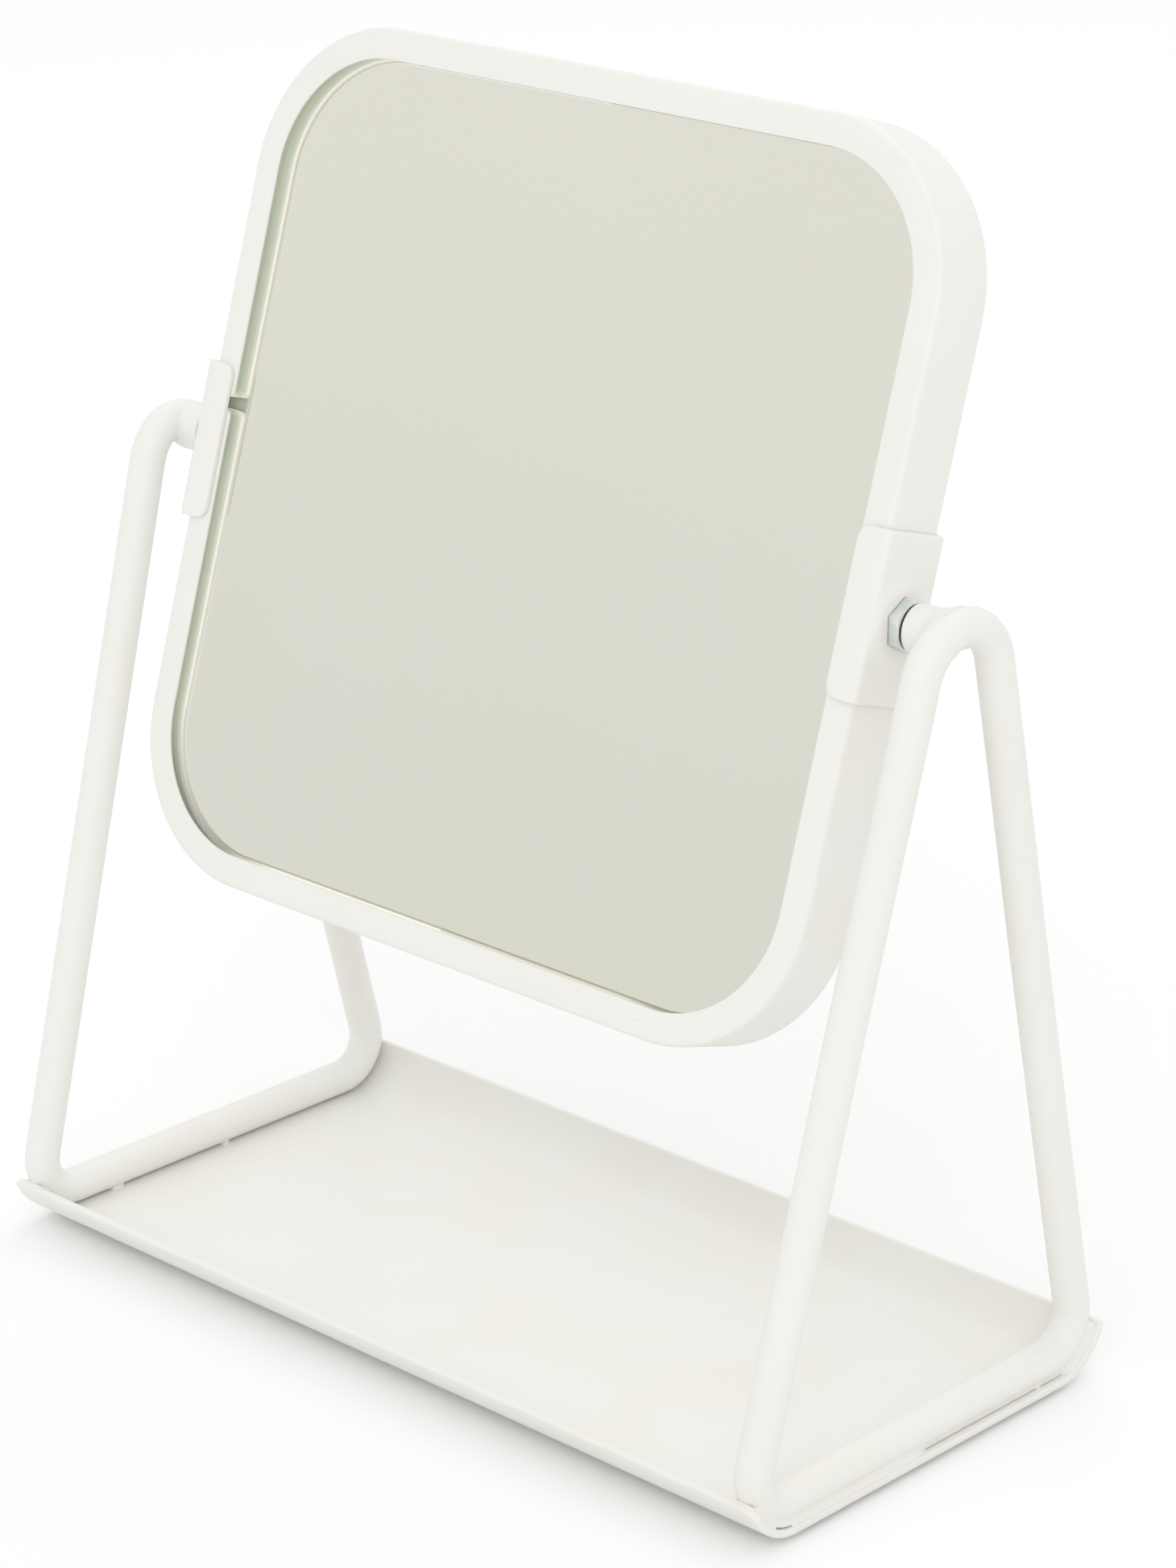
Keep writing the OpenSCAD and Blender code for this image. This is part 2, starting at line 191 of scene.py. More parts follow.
class Layout:
    """Places that follow from the sizes."""

    def __init__(self, scene):
        stand, mirror = scene.stand_sizes, scene.mirror_sizes
        self.stand, self.mirror = stand, mirror
        self.rod = stand.rod_diameter / 2
        self.half = atan(stand.loop_depth / 2 / stand.loop_rise)
        self.corner_y = stand.loop_depth / 2 - stand.corner_bend / tan((pi / 2 - self.half) / 2)
        self.top_centre = stand.loop_rise - stand.top_bend / sin(self.half)
        self.rod_z = stand.pad_height + stand.plate_sheet + stand.rod_gap + self.rod
        self.lip_radius = stand.corner_bend + self.rod + stand.rod_gap
        # The plate with its lips is centred on the origin
        spread = sin(stand.rear_sweep) - sin(stand.front_sweep)
        self.loop_y = -(stand.rear_room + (self.lip_radius + stand.plate_sheet) * spread) / 2
        self.pivot_y = self.loop_y - stand.pivot_fwd
        self.pivot_z = self.rod_z + self.top_centre + stand.top_bend - stand.pivot_drop
        self.half_w = mirror.width / 2 - mirror.corner
        self.half_h = mirror.height / 2 - mirror.corner
        self.web_x = mirror.width / 2 + mirror.bracket_sheet
        self.seat_x = self.web_x + mirror.seat_height
        self.nut_x = self.seat_x + mirror.nut_sheet
        self.washer_x = self.nut_x + mirror.washer_sheet
        self.boss_x = self.washer_x + mirror.play
        self.rod_side_x = self.boss_x + stand.boss_length
        leaned = tan(stand.loop_lean) * (self.pivot_z - self.rod_z)
        self.loop_x = self.rod_side_x + self.rod - leaned
        self.plate_half = self.loop_x + stand.plate_over
        self.lip_z = self.rod_z + stand.corner_bend
        self.front_y = self.loop_y - self.corner_y
        self.rear_y = self.loop_y + self.corner_y + stand.rear_room

    def front_corner(self, x):
        """Rounding of the front lip at the end that x is nearer to."""
        return self.stand.right_corner if x > 0 else self.stand.left_corner

    def lip_drawn(self, x, corner):
        """Angle by which a lip's rounded end is shorter at x."""
        middle = self.lip_radius + self.stand.plate_sheet / 2
        return shrink(self.plate_half - abs(x), corner) / middle

    def tilted(self, u, n, v):
        """A point of the mirror's own axes (right, back, up) at its rest tilt."""
        t = self.mirror.tilt
        return (u, self.pivot_y + n * cos(t) + v * sin(t), self.pivot_z - n * sin(t) + v * cos(t))

    def round_pivot(self, x, radius, a):
        """A point at an angle round the pivot axis."""
        return (x, self.pivot_y + radius * cos(a), self.pivot_z + radius * sin(a))

    def on_loop(self, along, up, out):
        """A point of the right loop's own plane, out being away from the mirror."""
        lean = self.stand.loop_lean
        return (
            self.loop_x + out * cos(lean) + up * sin(lean),
            self.loop_y + along,
            self.rod_z - out * sin(lean) + up * cos(lean),
        )

    def settle(self, along, up, left):
        """A point of a loop's centreline as it was bent, a little off the true path at the top."""
        stand = self.stand
        below = self.top_centre + stand.top_bend - up
        if left:
            near = ease(along, -7 * MM, 7 * MM) * ease(below, 40 * MM, 10 * MM)
            return along, up - stand.left_sag * near
        near = ease(below, 90 * MM, 10 * MM)
        return along + stand.right_back * near, up - stand.right_sag * near

    def loop_path(self):
        """The loop's closed centreline: (along, up, direction of travel)."""
        stand, low, high = self.stand, self.stand.corner_bend, self.top_centre
        bend_step, longest, path = radians(4), 12 * MM, []
        for along, up, radius, start, end in (
            (self.corner_y, low, low, -pi / 2, self.half),
            (0, high, stand.top_bend, self.half, pi - self.half),
            (-self.corner_y, low, low, pi - self.half, 1.5 * pi),
        ):
            count = round((end - start) / bend_step)
            for i in range(count + 1):
                a = start + (end - start) * i / count
                path.append((along + radius * cos(a), up + radius * sin(a), a + pi / 2))
        full = []
        for here, there in zip(path, path[1:] + path[:1]):
            full.append(here)
            parts = int(hypot(there[0] - here[0], there[1] - here[1]) / longest) + 1
            full += [(*blend(here[:2], there[:2], i / parts), here[2]) for i in range(1, parts)]
        return full


# Mesh making


def ease(value, low, high):
    """A smooth step, from 0 at low to 1 at high."""
    t = min(max((value - low) / (high - low), 0.0), 1.0)
    return t * t * (3 - 2 * t)


def blend(here, there, t):
    """The point a share t of the way from here to there."""
    return tuple(a + (b - a) * t for a, b in zip(here, there))


def bezier(first, second, third, t):
    """A point of the curve that three points draw."""
    return blend(blend(first, second, t), blend(second, third, t), t)


def ring_angles(sides):
    """Angles of a ring's points."""
    return [2 * pi * k / sides for k in range(sides)]


def merged(shapes):
    """Several shapes as one list of vertices and one of faces."""
    verts, faces = [], []
    for more, quads in shapes:
        faces += [tuple(i + len(verts) for i in face) for face in quads]
        verts += more
    return verts, faces


def rounded(corners, steps):
    """A closed outline whose corners (x, y, radius) are rounded off."""
    points = []
    for i, (x, y, radius) in enumerate(corners):
        here = Vector((x, y))
        back = (Vector(corners[i - 1][:2]) - here).normalized()
        ahead = (Vector(corners[(i + 1) % len(corners)][:2]) - here).normalized()
        half = back.angle(ahead) / 2
        centre = here + (back + ahead).normalized() * radius / sin(half)
        start = here + back * radius / tan(half) - centre
        end = here + ahead * radius / tan(half) - centre
        turn = start.angle_signed(end) if radius > 0 else 0.0
        for k in range(steps + 1):
            spin = -turn * k / steps
            points.append((
                centre.x + start.x * cos(spin) - start.y * sin(spin),
                centre.y + start.x * sin(spin) + start.y * cos(spin),
            ))
    return points


def shrink(distance, radius):
    """How far an edge of that rounding has drawn in, at a distance from its end."""
    reach = radius - min(distance, radius)
    return radius - sqrt(max(radius * radius - reach * reach, 0.0))


def end_steps(*roundings):
    """Distances from an end at which its roundings (radius, steps) need a ring."""
    return sorted({
        r * (1 - cos(pi / 2 * k / fine)) for r, fine in roundings for k in range(fine + 1)
    })


def skin(rings, closed=False):
    """Vertices and faces of a tube through rings of points, with its ends filled."""
    size, count = len(rings[0]), len(rings)
    verts = [p for ring in rings for p in ring]
    faces = []
    for i in range(count if closed else count - 1):
        a, b = i * size, (i + 1) % count * size
        for k in range(size):
            j = (k + 1) % size
            faces.append((a + k, a + j, b + j, b + k))
    if not closed:
        faces.append(tuple(reversed(range(size))))
        faces.append(tuple(range((count - 1) * size, count * size)))
    return verts, faces


def make_piece(node, shape, material, body, slot, flip=False, crease=35.0):
    """A mesh piece that rides on a body and stands for a node."""
    verts, faces = shape
    if flip:
        verts = [(-x, y, z) for x, y, z in verts]
    name = node + "_visual"
    mesh = bpy.data.meshes.new(name)
    mesh.from_pydata(verts, [], faces)
    clean(mesh)
    mesh.shade_smooth()
    mesh.set_sharp_from_angle(angle=radians(crease))
    mesh.materials.append(material)
    piece = bpy.data.objects.new(name, mesh)
    bpy.context.collection.objects.link(piece)
    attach(piece, body)
    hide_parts(node)


def clean(mesh):
    """Joins doubled points and turns every face outwards."""
    work = bmesh.new()
    work.from_mesh(mesh)
    bmesh.ops.remove_doubles(work, verts=work.verts, dist=1e-7)
    bmesh.ops.recalc_face_normals(work, faces=work.faces)
    work.to_mesh(mesh)
    work.free()


def lathe(layout, profile):
    """A body turned about the pivot axis from a closed profile of (x, radius)."""
    rings = [[layout.round_pivot(x, r, a) for x, r in profile] for a in ring_angles(72)]
    return skin(rings, closed=True)


# Materials


class Graph:
    """The node tree of a material or the world, with short calls to fill it."""

    def __init__(self, owner):
        owner.use_nodes = True
        self.owner, self.tree = owner, owner.node_tree
        self.tree.nodes.clear()

    @cached_property
    def place(self):
        return self.add("ShaderNodeTexCoord").outputs["Object"]

    def add(self, kind, inputs=None, **settings):
        node = self.tree.nodes.new(kind)
        for key, value in settings.items():
            setattr(node, key, value)
        for key, value in (inputs or {}).items():
            if isinstance(value, bpy.types.NodeSocket):
                self.tree.links.new(value, node.inputs[key])
            else:
                node.inputs[key].default_value = value
        return node

    def math(self, operation, *values, clamp=False):
        return self.add(
            "ShaderNodeMath", dict(enumerate(values)), operation=operation, use_clamp=clamp,
        ).outputs[0]

    def times(self, first, second):
        return self.math("MULTIPLY", first, second)

    def vector(self, operation, *values):
        node = self.add("ShaderNodeVectorMath", dict(enumerate(values)), operation=operation)
        return node.outputs["Value" if operation == "LENGTH" else "Vector"]

    def part(self, vector, axis):
        """One coordinate of a vector."""
        return self.add("ShaderNodeSeparateXYZ", {0: vector}).outputs[axis]

    def noise(self, scale, detail, rough, place=None):
        return self.add(
            "ShaderNodeTexNoise",
            {"Vector": place or self.place, "Scale": scale, "Detail": detail, "Roughness": rough},
        ).outputs["Fac"]

    def remap(self, value, low, high, to_low=0.0, to_high=1.0, smooth=False):
        return self.add(
            "ShaderNodeMapRange", {0: value, 1: low, 2: high, 3: to_low, 4: to_high},
            interpolation_type="SMOOTHSTEP" if smooth else "LINEAR",
        ).outputs[0]

    def mix(self, factor, first, second):
        def full(c):
            return c if isinstance(c, bpy.types.NodeSocket) else (*c, 1.0)

        return self.add(
            "ShaderNodeMix", {0: factor, 6: full(first), 7: full(second)}, data_type="RGBA",
        ).outputs[2]

    def bump(self, height, strength, distance):
        return self.add(
            "ShaderNodeBump", {"Height": height, "Strength": strength, "Distance": distance},
        ).outputs["Normal"]

    def specks(self, scale, size, share):
        """Sparse round specks: 1 inside a speck, 0 elsewhere."""
        cells = self.add("ShaderNodeTexVoronoi", {"Vector": self.place, "Scale": scale}).outputs
        chosen = self.math("GREATER_THAN", self.part(cells["Color"], 0), 1 - share)
        return self.times(self.remap(cells["Distance"], size, size * 0.6), chosen)

    def show(self, shader, kind="Material"):
        output = self.add("ShaderNodeOutput" + kind)
        self.tree.links.new(shader.outputs[0], output.inputs[0])
        return self.owner

    def finish(self, **sockets):
        values = {key.replace("_", " "): value for key, value in sockets.items()}
        return self.show(self.add("ShaderNodeBsdfPrincipled", values))


def once(fill):
    """Lets a material be made when first asked for, and then found again by its name."""
    def found(name, *values, **settings):
        made = bpy.data.materials.get(name)
        return made or fill(Graph(bpy.data.materials.new(name)), *values, **settings)

    return found


def shaded(tone, factors):
    """A colour with each channel scaled."""
    return tuple(c * f for c, f in zip(tone, factors))


def mirror_axes(g, layout):
    """Shading position in the mirror's own axes: right, back and up from the pivots."""
    centre = g.vector("SUBTRACT", g.place, (0.0, layout.pivot_y, layout.pivot_z))
    turn = (layout.mirror.tilt, 0.0, 0.0)
    return g.add("ShaderNodeMapping", {"Vector": centre, "Rotation": turn}).outputs[0]


def past_outline(g, axes, layout, inset, sideways=0.0):
    """How far a point, moved sideways, lies outside the frame's outline drawn in by inset."""
    quarter = g.vector("ABSOLUTE", g.vector("MULTIPLY", axes, (1.0, 0.0, 1.0)))
    reach = g.vector("SUBTRACT", quarter, (layout.half_w - sideways, 0.0, layout.half_h))
    reach = g.vector("MAXIMUM", reach, (0.0, 0.0, 0.0))
    return g.math("SUBTRACT", g.vector("LENGTH", reach), layout.mirror.corner - inset)


@once
def powder_coat(g, paint, glow=None):
    """Semi-gloss white powder coat: orange peel, faint clouding and a few dust specks."""
    # Painted light: an emission colour from glow, when one is given
    lit = {"Emission_Color": glow(g), "Emission_Strength": 1.0} if glow else {}
    peel = g.noise(620.0, 2.0, 0.45)
    cloud = g.remap(g.noise(24.0, 3.0, 0.55), 0.35, 0.65)
    warm, dust_and_seat_shade = shaded(paint, (0.985, 0.975, 0.955)), (0.42, 0.40, 0.35)
    dust = g.times(g.specks(170.0, 0.045, 0.05), 0.35)
    base = g.mix(dust, g.mix(cloud, tuple(paint), warm), dust_and_seat_shade)
    height = g.math("ADD", peel, g.times(g.noise(2600.0, 1.0, 0.5), 0.12))
    return g.finish(
        Base_Color=base, Roughness=g.remap(peel, 0.3, 0.7, 0.36, 0.46), IOR=1.5,
        Normal=g.bump(height, 0.5, 0.00005), **lit,
    )


def painted_light_channel_coat(name, finishes, layout):
    """The frame's powder coat, with painted light: emission on the undersides of its lips,
    brighter near their edges and at the seam.
    """
    mirror = layout.mirror
    lip_edge_painted_light, seam_painted_light, dark = (0.41, 0.40, 0.38), (0.30, 0.32, 0.25), (0.0, 0.0, 0.0)

    def glow(g):
        axes = mirror_axes(g, layout)
        up = g.part(axes, 2)
        inside = g.math("LESS_THAN", past_outline(g, axes, layout, mirror.sheet / 2), 0.0)
        depth, face = g.math("ABSOLUTE", g.part(axes, 1)), mirror.depth / 2
        under = g.remap(depth, face - 0.45 * MM, face - 0.7 * MM)
        covered = g.remap(past_outline(g, axes, layout, mirror.lip), 1.0 * MM, 0.7 * MM)
        # Painted light: dimmer deep under the lips, brighter near their edges
        light = g.mix(covered, tuple(finishes.under_lip_painted_light), lip_edge_painted_light)
        # More painted light where the lips part at the seam
        off_seam = g.math("ABSOLUTE", g.math("SUBTRACT", up, mirror.seam_height))
        light = g.mix(g.remap(off_seam, 3.0 * MM, 1.5 * MM), light, seam_painted_light)
        # No painted light on the bottom side, whose inside faces up and catches enough light of
        # its own
        under = g.times(under, g.remap(up, -88 * MM, -60 * MM))
        return g.mix(g.times(inside, under), dark, light)

    return powder_coat(name, finishes.paint, glow=glow)


@once
def silvered_glass(g, finishes, layout):
    """Mirror glass: a grey-green silvering with faint dust, a painted reflection that is lighter
    at the top, painted olive shade close to the lips, painted highlights beside the left lips and
    painted light under the bottom lip.
    """
    mirror, sight_slant = layout.mirror, 0.843
    cloudy, olive_painted_shade, speck = (0.80, 0.80, 0.80), (0.36, 0.39, 0.30), (0.9, 0.9, 0.88)
    dark, painted_bottom_light = (0.0, 0.0, 0.0), (0.40, 0.40, 0.36)
    axes = mirror_axes(g, layout)
    across, up = g.part(axes, 0), g.part(axes, 2)

    def past_lip(depth):
        """How far what is seen through so much glass, from the front right, lies past the lip."""
        return past_outline(g, axes, layout, mirror.lip, sight_slant * depth)

    # Painted reflection: the silvering is lighter towards the top and darker towards the foot
    tone = g.remap(up, -95 * MM, 95 * MM, smooth=True)
    base = g.mix(tone, tuple(finishes.silver_low_painted_reflection), tuple(finishes.silver_top_painted_reflection))
    cloud = g.times(g.remap(g.noise(14.0, 3.0, 0.6), 0.3, 0.7), 0.05)
    base = g.mix(cloud, base, cloudy)
    # Painted highlight and painted reflection, put only beside the left lips, as seen from the
    # front right
    left = g.math("LESS_THAN", across, 0.0)
    glint = g.remap(past_lip(mirror.silver_depth + mirror.sheet), -0.45 * MM, 0.05 * MM)
    base = g.mix(g.times(glint, left), base, tuple(finishes.glass_glint))
    # Painted reflection: the silvering is lighter where the left lip's underside is seen in it
    rim = g.remap(past_lip(mirror.silver_depth), 0.4 * MM, 0.9 * MM)
    base = g.mix(g.times(rim, left), base, tuple(finishes.rim_painted_reflection))
    # Painted shade: the silvering darkens towards olive just under the lips' edges
    covered = past_lip(0.0)
    near = g.remap(covered, 0.5 * MM, 1.2 * MM, 0.0, 0.06)
    deep = g.remap(covered, 1.2 * MM, 1.45 * MM, 0.0, 0.1)
    base = g.mix(g.math("ADD", near, deep), base, olive_painted_shade)
    dust = g.math("ADD", g.specks(240.0, 0.05, 0.04), g.specks(90.0, 0.018, 0.12), clamp=True)
    base = g.mix(g.times(dust, 0.5), base, speck)
    haze = g.remap(g.noise(70.0, 4.0, 0.6), 0.35, 0.75, 0.012, 0.03)
    rough = g.math("ADD", haze, g.times(dust, 0.4))
    # Painted light: an emission under the middle of the bottom lip
    middle = g.remap(g.math("ABSOLUTE", across), 68 * MM, 52 * MM)
    bottom = g.times(g.remap(up, -78 * MM, -84 * MM), middle)
    under = g.times(bottom, g.remap(covered, -0.3 * MM, 0.2 * MM))
    glow = g.mix(under, dark, painted_bottom_light)
    return g.finish(
        Base_Color=base, Metallic=1.0, Roughness=rough, Emission_Color=glow, Emission_Strength=1.0,
    )


@once
def zinc_plate(g, zinc, seat):
    """Dull blue-green zinc plating with fine tooling marks, with painted shade where it meets the
    seat.
    """
    grain = g.noise(900.0, 3.0, 0.6)
    cloud = g.remap(g.noise(260.0, 2.0, 0.5), 0.35, 0.65)
    dull, dust_and_seat_shade = shaded(zinc, (0.80, 0.84, 0.83)), (0.16, 0.15, 0.13)
    base = g.mix(cloud, tuple(zinc), dull)
    outwards = g.math("ABSOLUTE", g.part(g.place, 0))
    # Painted shade: darker in a thin ring where the nut meets the seat
    seat_painted_shade = g.remap(outwards, seat + 0.2 * MM, seat + 0.1 * MM)
    return g.finish(
        Base_Color=g.mix(seat_painted_shade, base, dust_and_seat_shade), Metallic=0.75,
        Roughness=g.remap(grain, 0.3, 0.7, 0.36, 0.56), Normal=g.bump(grain, 0.7, 0.00004),
    )


@once
def matt_moulding(g, base, rough):
    """Matt plastic or rubber with a fine moulded grain."""
    grain = g.noise(1400.0, 2.0, 0.5)
    worn = tuple(min(c * 1.5 + 0.01, 1.0) for c in base)
    return g.finish(
        Base_Color=g.mix(g.remap(grain, 0.45, 0.7), tuple(base), worn),
        Roughness=g.remap(grain, 0.3, 0.7, rough - 0.06, rough + 0.06),
        Normal=g.bump(grain, 0.4, 0.00003),
    )


@once
def hardboard(g, base):
    """Pressed board: short fibres in two browns."""
    fibre = g.noise(500.0, 4.0, 0.65, g.vector("MULTIPLY", g.place, (1.0, 1.0, 6.0)))
    dark = shaded(base, (0.55, 0.55, 0.55))
    return g.finish(
        Base_Color=g.mix(fibre, dark, tuple(base)),
        Roughness=g.remap(fibre, 0.3, 0.7, 0.6, 0.8), Normal=g.bump(fibre, 0.5, 0.0001),
    )


def paint_piece(context, node, shape, body, **settings):
    """A piece in the white coat that most of them share."""
    coat = powder_coat("powder coat", context.scene.finishes.paint)
    make_piece(node, shape, coat, body, "powder_white", **settings)


# Pieces


class SWIVEL_OT_base_plate(Operator):
    """Make the base plate with its two upturned lips"""

    bl_idname = "swivel_mirror.base_plate"
    bl_label = "Base Plate"

    def execute(self, context):
        layout = Layout(context.scene)
        stand, half, edge, arc_steps = layout.stand, layout.plate_half, 0.45 * MM, 22

        def lip(inset, sweep, centre_y, sign):
            """One lip's section (y, z) from the plate's underside over its tip to the top."""
            outer = layout.lip_radius + stand.plate_sheet - inset
            inner = layout.lip_radius + inset
            soft = min(edge, (outer - inner) / 2.2)
            turn = soft / outer
            top = sweep - inset / outer - turn
            arc = [top * k / arc_steps for k in range(arc_steps + 1)]
            bends = (pi / 6, pi / 3, pi / 2)
            order = [(outer, a) for a in arc]
            order += [(outer - soft + soft * cos(w), top + turn * sin(w)) for w in bends]
            order += [(inner + soft - soft * cos(w), top + turn * sin(w)) for w in reversed(bends)]
            order += [(inner, a) for a in reversed(arc)]
            return [(centre_y + sign * r * sin(a), layout.lip_z - r * cos(a)) for r, a in order]

        def outline(inset, rear_drawn, front_drawn):
            """The plate's section, drawn in by inset and its lips shortened by an angle."""
            rear = lip(inset, stand.rear_sweep - rear_drawn, layout.rear_y, 1)
            front = lip(inset, stand.front_sweep - front_drawn, layout.front_y, -1)
            return rear + front[::-1]

        steps = end_steps((edge, 4), (stand.left_corner, 5), (stand.right_corner, 8))
        places = [-half + s for s in steps] + [half * k / 6 for k in range(-5, 6)]
        rings = []
        for x in places + [half - s for s in reversed(steps)]:
            drawn = [layout.lip_drawn(x, r) for r in (stand.left_corner, layout.front_corner(x))]
            rings.append([(x, y, z) for y, z in outline(shrink(half - abs(x), edge), *drawn)])
        paint_piece(context, "base_plate", skin(rings), STAND, crease=50)
        return {"FINISHED"}


class SWIVEL_OT_foot_pads(Operator):
    """Make the four foot pads under the plate"""

    bl_idname = "swivel_mirror.foot_pads"
    bl_label = "Foot Pads"

    def execute(self, context):
        layout = Layout(context.scene)
        stand = layout.stand
        radius, edge = stand.pad_diameter / 2, 0.3 * MM
        profile = [(radius * 0.55, 0.0)]
        for a in (0, pi / 6, pi / 3, pi / 2):
            profile.append((radius - edge + edge * sin(a), edge - edge * cos(a)))
        profile.append((radius - 0.1 * MM, stand.pad_height))
        pads = []
        for sign in (-1, 1):
            x = sign * (layout.plate_half - stand.pad_in)
            for y in (layout.front_y + stand.pad_back, layout.rear_y - stand.pad_back):
                pads.append(skin([
                    [(x + r * cos(a), y + r * sin(a), z) for a in ring_angles(48)]
                    for r, z in profile
                ]))
        rubber = matt_moulding("pad rubber", context.scene.finishes.rubber, 0.75)
        make_piece("foot_pads", merged(pads), rubber, STAND, "foot_rubber")
        return {"FINISHED"}


class SWIVEL_OT_side_loops(Operator):
    """Make the two bent-rod loops"""

    bl_idname = "swivel_mirror.side_loops"
    bl_label = "Side Loops"

    def execute(self, context):
        layout = Layout(context.scene)

        for side, flip in SIDES:
            rings = []
            for along, up, heading in layout.loop_path():
                along, up = layout.settle(along, up, flip)
                ring = []
                for a in ring_angles(40):
                    across, out = layout.rod * cos(a), layout.rod * sin(a)
                    y, z = along + across * sin(heading), up - across * cos(heading)
                    ring.append(layout.on_loop(y, z, out))
                rings.append(ring)
            shape = skin(rings, closed=True)
            paint_piece(context, side + "_side_loop", shape, STAND, flip=flip)
        return {"FINISHED"}


class SWIVEL_OT_plate_welds(Operator):
    """Make the beads and tacks that join the loops to the plate"""

    bl_idname = "swivel_mirror.plate_welds"
    bl_label = "Plate Welds"

    def on_plate(self, layout, along):
        """The plate's top at a distance along its section: (y, z), inward normal, rod's gap."""
        stand, radius = layout.stand, layout.lip_radius
        edge = min(max(along, -layout.corner_y), layout.corner_y + stand.rear_room)
        a = (along - edge) / radius
        point = (layout.loop_y + edge + radius * sin(a), layout.lip_z - radius * cos(a))
        return point, (-sin(a), cos(a)), stand.rod_gap + max(sin(a), 0.0) * stand.rear_room

    def bead(self, layout, side, stations, seed):
        """Weld metal in the crevice, by stations of (along, foot, lean, lift) in millimetres.

        side is 1 outside the loop and -1 inside; foot and lean are how far out it reaches on
        the plate and on the rod, and lift is how far its foot hangs clear of the plate.
        """
        rod, root, rings = layout.rod, 0.22 * layout.rod, []
        step, ripple, ripples, bury = 0.5 * MM, 0.10 * MM, 500, 0.1 * MM
        stations = [tuple(value * MM for value in station) for station in stations]
        for here, there in zip(stations, stations[1:]):
            count = max(round((there[0] - here[0]) / step), 1)
            for i in range(count + (there is stations[-1])):
                along, foot, lean, lift = blend(here, there, i / count)
                (y, z), (ny, nz), gap = self.on_plate(layout, along)
                foot += ripple * noise.noise(Vector((along * ripples, seed, side)))
                under = gap + rod - sqrt(rod * rod - lean * lean) + bury
                belly = 0.55 * min(foot, lean) + 0.35 * lean
                face = (foot, max(lift, 0.02 * MM)), (belly, 0.28 * under), (lean, under)
                section = [(root, lift), (foot, lift)] + [bezier(*face, k / 5) for k in range(6)]
                section.append((lean - 0.45 * MM, under + 2 * bury))
                section.append((root, max(lift + bury, 0.35 * MM)))
                rings.append([
                    (layout.loop_x + side * d, y + ny * h, z + nz * h) for d, h in section
                ])
        return skin(rings)

    def lip_end(self, layout, sign):
        """The run of metal between a loop and the end of the front lip."""
        stand, half_steps, reach, size = layout.stand, 12, 3.5 * MM, 0.55 * MM
        below_tip, off_rod = 0.4 * MM, 0.2 * MM
        middle, rings = layout.lip_radius + stand.plate_sheet / 2, []
        for i in range(-half_steps, half_steps + 1):
            t = i / half_steps
            x = layout.loop_x + t * reach
            drawn = layout.lip_drawn(x, layout.front_corner(sign * x))
            a = stand.front_sweep - drawn - below_tip / middle
            thick = size * (0.3 + 0.7 * sqrt(max(1 - t ** 4, 0.0)))
            ring = []
            for w in ring_angles(12):
                radius = layout.lip_radius + off_rod + thick * cos(w)
                turn = a + thick * sin(w) / middle
                y, z = layout.front_y - radius * sin(turn), layout.lip_z - radius * cos(turn)
                ring.append((x, y, z))
            rings.append(ring)
        return skin(rings)

    def execute(self, context):
        layout = Layout(context.scene)
        corner = layout.corner_y / MM
        degree = layout.lip_radius * radians(1) / MM
        front, rear = -corner - 66 * degree, corner + layout.stand.rear_room / MM
        # A bead's (foot, lean, lift); sunk, its foot is in the plate
        sunk, hung, thin = -0.2, 0.36, (1.2, 1.2, -0.2)
        closed, shut, end = (3.9, 3.5, sunk), (3.8, 3.5, sunk), (3.0, 3.0, sunk)
        slim, clear, open_corner = (2.85, 3.1, sunk), (2.7, 3.1, 0.25), (3.5, 3.5, hung)
        tack, inner = (2.45, 2.4, sunk), (2.9, 2.9, sunk)
        outer = [
            (front, *end), (front + 1, *closed),
            (-corner - 28 * degree, *closed), (-corner - 26 * degree, *open_corner),
            (-corner - 5 * degree, *open_corner), (-corner - 3 * degree, *closed),
            (-4, *closed), (-0.6, *slim), (-0.2, *clear),
            (37.2, *clear), (37.5, *slim), (38.7, *slim), (39.0, *clear),
            (46.0, *clear), (46.4, *slim), (48.0, *shut),
            (rear + 66 * degree, *shut), (rear + 71 * degree, *end),
        ]
        inside = (
            [(-33.2, *thin), (-32.7, *tack), (-29.7, *tack), (-29.2, *thin)],
            [(1.7, *thin), (2.1, *tack), (3.8, *tack), (4.2, *thin)],
            [
                (front, 2.4, 2.4, sunk), (front + 1, *inner),
                (-corner - 24 * degree, *inner), (-corner - 22 * degree, *thin),
            ],
        )

        for side, flip in SIDES:
            shapes = [self.bead(layout, 1, outer, 7.7), self.lip_end(layout, -1 if flip else 1)]
            shapes += [self.bead(layout, -1, run, 1.3 * k) for k, run in enumerate(inside)]
            name, shape = side + "_welds", merged(shapes)
            paint_piece(context, name, shape, STAND, flip=flip, crease=80)
        return {"FINISHED"}


